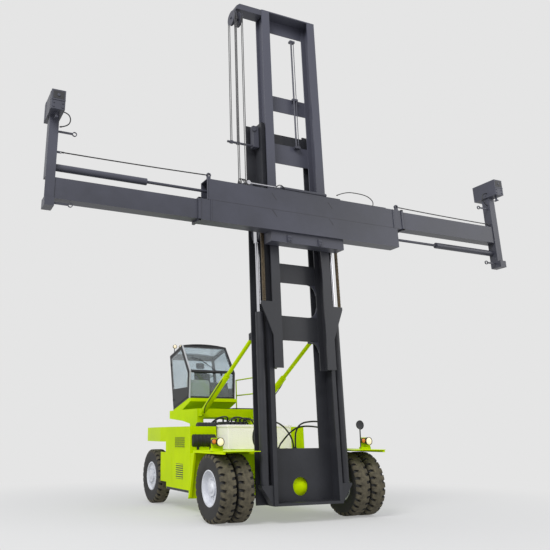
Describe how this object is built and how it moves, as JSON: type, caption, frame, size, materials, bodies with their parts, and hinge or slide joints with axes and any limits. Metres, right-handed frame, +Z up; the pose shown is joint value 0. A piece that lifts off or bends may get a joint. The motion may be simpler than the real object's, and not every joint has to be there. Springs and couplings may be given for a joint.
{
  "type": "empty container handler",
  "caption": "Empty container handler: twin-tyred truck with a raised cab, a two-stage tilting mast and a side-lift spreader with telescopic arms.",
  "frame": {"origin": "on the ground, under the middle of the machine's box", "axes": "+X across the machine towards its left side, +Y to the rear, +Z up"},
  "size_m": [12.265, 7.19, 12.31],
  "materials": {
    "black_paint": "satin",
    "chain_steel": "oiled",
    "lime_paint": "gloss enamel",
    "mast_paint": "satin enamel",
    "rim_paint": "satin",
    "rod_chrome": "polished",
    "tyre": "matte moulded"
  },
  "bodies": {
    "chassis": {"chassis_frame": "lime_paint", "counterweight": "lime_paint", "engine_block": "black_paint", "side_box_left": "lime_paint", "side_box_right": "lime_paint", "fender_left": "lime_paint", "fender_right": "lime_paint", "drive_axle": "lime_paint", "steer_axle": "lime_paint", "platform": "lime_paint", "walkway": "black_paint", "handrails": "lime_paint", "cab_cradle": "lime_paint", "cab_frame": "black_paint", "cab_side_panel": "black_paint"},
    "cab_door": {"cab_door": "black_paint"},
    "mast": {"outer_mast": "mast_paint", "lift_barrel_left": "mast_paint", "lift_barrel_right": "mast_paint"},
    "lift_rods": {"lift_rod_left": "rod_chrome", "lift_rod_right": "rod_chrome", "chain_wheel_left": "mast_paint", "chain_wheel_right": "mast_paint"},
    "inner_mast": {"inner_mast": "mast_paint", "lift_chain_left": "chain_steel", "lift_chain_right": "chain_steel"},
    "carriage": {"carriage": "mast_paint"},
    "spreader": {"spreader_box_low": "mast_paint", "spreader_box_high": "mast_paint"},
    "drive_wheel_left": {"drive_tyres_left": "tyre", "drive_rims_left": "rim_paint"},
    "steer_knuckle_left": {"steer_knuckle_left": "lime_paint"},
    "steer_wheel_left": {"steer_tyre_left": "tyre", "steer_rim_left": "rim_paint"},
    "drive_wheel_right": {"drive_tyres_right": "tyre", "drive_rims_right": "rim_paint"},
    "steer_knuckle_right": {"steer_knuckle_right": "lime_paint"},
    "steer_wheel_right": {"steer_tyre_right": "tyre", "steer_rim_right": "rim_paint"},
    "tilt_barrel_left": {"tilt_barrel_left": "lime_paint"},
    "tilt_rod_left": {"tilt_rod_left": "rod_chrome"},
    "tilt_barrel_right": {"tilt_barrel_right": "lime_paint"},
    "tilt_rod_right": {"tilt_rod_right": "rod_chrome"},
    "arm_left": {"beam_left": "mast_paint", "end_post_left": "mast_paint", "strut_left": "mast_paint"},
    "twistlock_left": {"twistlock_left": "mast_paint"},
    "arm_right": {"beam_right": "mast_paint", "end_post_right": "mast_paint", "strut_right": "mast_paint"},
    "twistlock_right": {"twistlock_right": "mast_paint"}
  },
  "joints": [
    {"name": "drive_roll_left", "type": "hinge", "parent": "chassis", "child": "drive_wheel_left", "pos_m": [-1.66, -2.045, 0.686], "axis": [1, 0, 0], "continuous": true},
    {"name": "steer_left", "type": "hinge", "parent": "chassis", "child": "steer_knuckle_left", "pos_m": [-1.1, 2.515, 0.686], "axis": [0, 0, 1], "range_deg": [-38, 38]},
    {"name": "steer_roll_left", "type": "hinge", "parent": "steer_knuckle_left", "child": "steer_wheel_left", "pos_m": [-1.48, 2.515, 0.686], "axis": [1, 0, 0], "continuous": true},
    {"name": "drive_roll_right", "type": "hinge", "parent": "chassis", "child": "drive_wheel_right", "pos_m": [1.66, -2.045, 0.686], "axis": [1, 0, 0], "continuous": true},
    {"name": "steer_right", "type": "hinge", "parent": "chassis", "child": "steer_knuckle_right", "pos_m": [1.1, 2.515, 0.686], "axis": [0, 0, 1], "range_deg": [-38, 38]},
    {"name": "steer_roll_right", "type": "hinge", "parent": "steer_knuckle_right", "child": "steer_wheel_right", "pos_m": [1.48, 2.515, 0.686], "axis": [1, 0, 0], "continuous": true},
    {"name": "mast_tilt", "type": "hinge", "parent": "chassis", "child": "mast", "pos_m": [0, -2.245, 0.92], "axis": [1, 0, 0], "range_deg": [-5, 3]},
    {"name": "tilt_swing_left", "type": "hinge", "parent": "chassis", "child": "tilt_barrel_left", "pos_m": [-0.81, 0.955, 2.3], "axis": [1, 0, 0], "range_deg": [-4, 4]},
    {"name": "tilt_slide_left", "type": "slide", "parent": "tilt_barrel_left", "child": "tilt_rod_left", "axis": [0, -0.8717, 0.49], "range_m": [-0.3, 0.2]},
    {"name": "tilt_swing_right", "type": "hinge", "parent": "chassis", "child": "tilt_barrel_right", "pos_m": [0.81, 0.955, 2.3], "axis": [1, 0, 0], "range_deg": [-4, 4]},
    {"name": "tilt_slide_right", "type": "slide", "parent": "tilt_barrel_right", "child": "tilt_rod_right", "axis": [0, -0.8717, 0.49], "range_m": [-0.3, 0.2]},
    {"name": "inner_lift", "type": "slide", "parent": "mast", "child": "inner_mast", "axis": [0, 0, 1], "range_m": [-2.72, 3]},
    {"name": "rod_lift", "type": "slide", "parent": "mast", "child": "lift_rods", "axis": [0, 0, 1], "range_m": [-1.36, 1.5]},
    {"name": "carriage_lift", "type": "slide", "parent": "inner_mast", "child": "carriage", "axis": [0, 0, 1], "range_m": [-2.72, 3]},
    {"name": "side_shift", "type": "slide", "parent": "carriage", "child": "spreader", "axis": [1, 0, 0], "range_m": [-0.3, 0.3]},
    {"name": "beam_slide_left", "type": "slide", "parent": "spreader", "child": "arm_left", "axis": [1, 0, 0], "range_m": [0, 3.066]},
    {"name": "lock_turn_left", "type": "hinge", "parent": "arm_left", "child": "twistlock_left", "pos_m": [-5.9925, -3.465, 7.93], "axis": [0, 0, 1], "range_deg": [0, 90]},
    {"name": "beam_slide_right", "type": "slide", "parent": "spreader", "child": "arm_right", "axis": [-1, 0, 0], "range_m": [0, 3.066]},
    {"name": "lock_turn_right", "type": "hinge", "parent": "arm_right", "child": "twistlock_right", "pos_m": [5.9925, -3.465, 7.93], "axis": [0, 0, 1], "range_deg": [0, 90]},
    {"name": "cab_door", "type": "hinge", "parent": "chassis", "child": "cab_door", "pos_m": [-0.7423, 3.14328, 2.46265], "axis": [0, -0.2008, -0.9796], "range_deg": [0, 105]}
  ],
  "couplings": [
    {"joint": "steer_right", "follows": "steer_left", "ratio": 1},
    {"joint": "tilt_swing_left", "follows": "mast_tilt", "ratio": 0.36472},
    {"joint": "tilt_slide_left", "follows": "mast_tilt", "m_per_rad": 2.7709},
    {"joint": "tilt_swing_right", "follows": "mast_tilt", "ratio": 0.36472},
    {"joint": "tilt_slide_right", "follows": "mast_tilt", "m_per_rad": 2.7709},
    {"joint": "rod_lift", "follows": "inner_lift", "ratio": 0.5},
    {"joint": "carriage_lift", "follows": "inner_lift", "ratio": 1},
    {"joint": "beam_slide_right", "follows": "beam_slide_left", "ratio": 1},
    {"joint": "lock_turn_right", "follows": "lock_turn_left", "ratio": 1}
  ]
}
